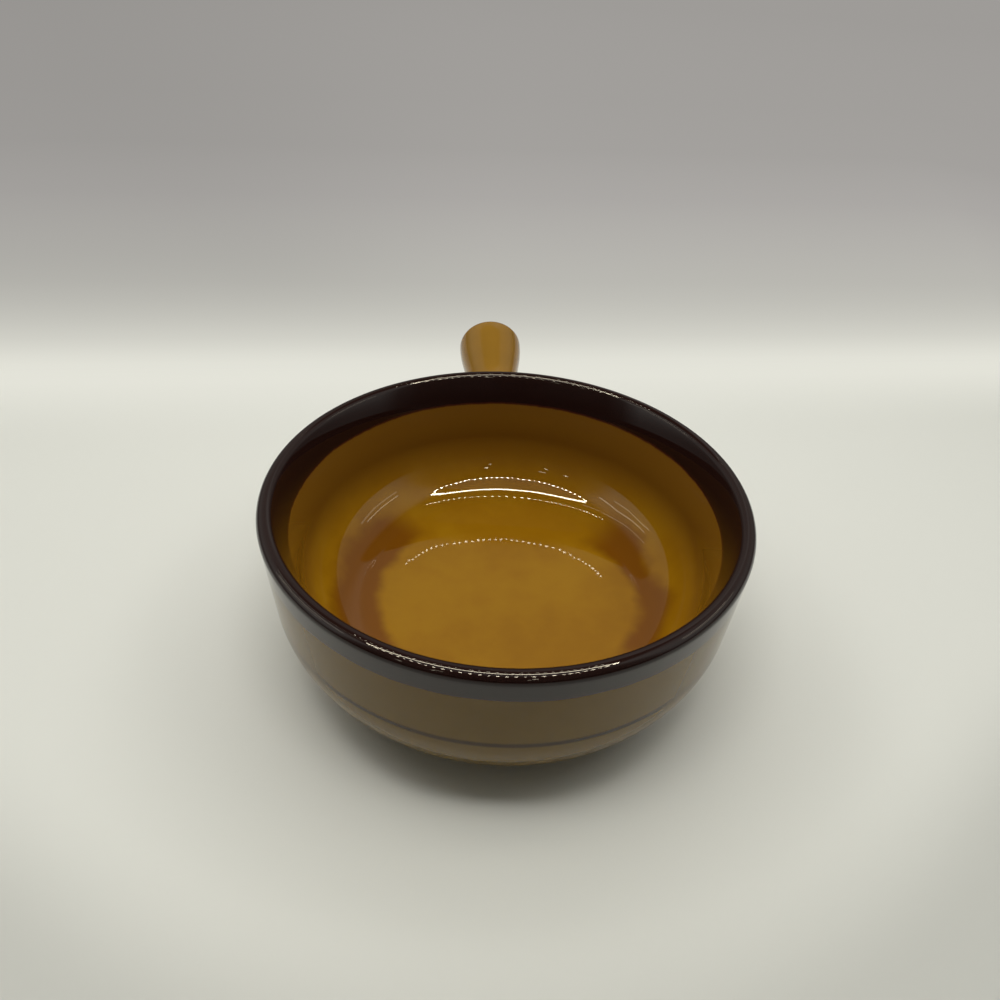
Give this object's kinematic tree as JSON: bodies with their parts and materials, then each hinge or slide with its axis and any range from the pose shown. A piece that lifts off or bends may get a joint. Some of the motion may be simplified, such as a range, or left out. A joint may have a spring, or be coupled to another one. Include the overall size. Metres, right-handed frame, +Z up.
{
  "type": "lug soup bowl",
  "caption": "Round glazed stoneware soup bowl with a rounded lip, a turned foot ring and a stub handle luted to its side.",
  "frame": {"origin": "middle of the foot ring, on its resting face", "axes": "+Z up through the middle of the bowl, +Y along the handle, +X to the right when looking along the handle"},
  "size_m": [0.14, 0.1809, 0.0591],
  "materials": {
    "stoneware": "bare fired stoneware, matt",
    "slip": "fired slip, matt",
    "honey_glaze": "gloss honey-brown glaze",
    "dark_glaze": "gloss dark brown glaze",
    "line_colour": "gloss brown line in the glaze"
  },
  "bodies": {
    "root": {"stoneware_bowl": "stoneware", "stoneware_handle": "stoneware", "luting_slip": "slip", "inside_glaze": "honey_glaze", "rim_glaze": "dark_glaze", "outside_glaze": "honey_glaze", "line_band": "line_colour", "handle_glaze": "honey_glaze", "base_glaze": "honey_glaze"}
  },
  "joints": []
}
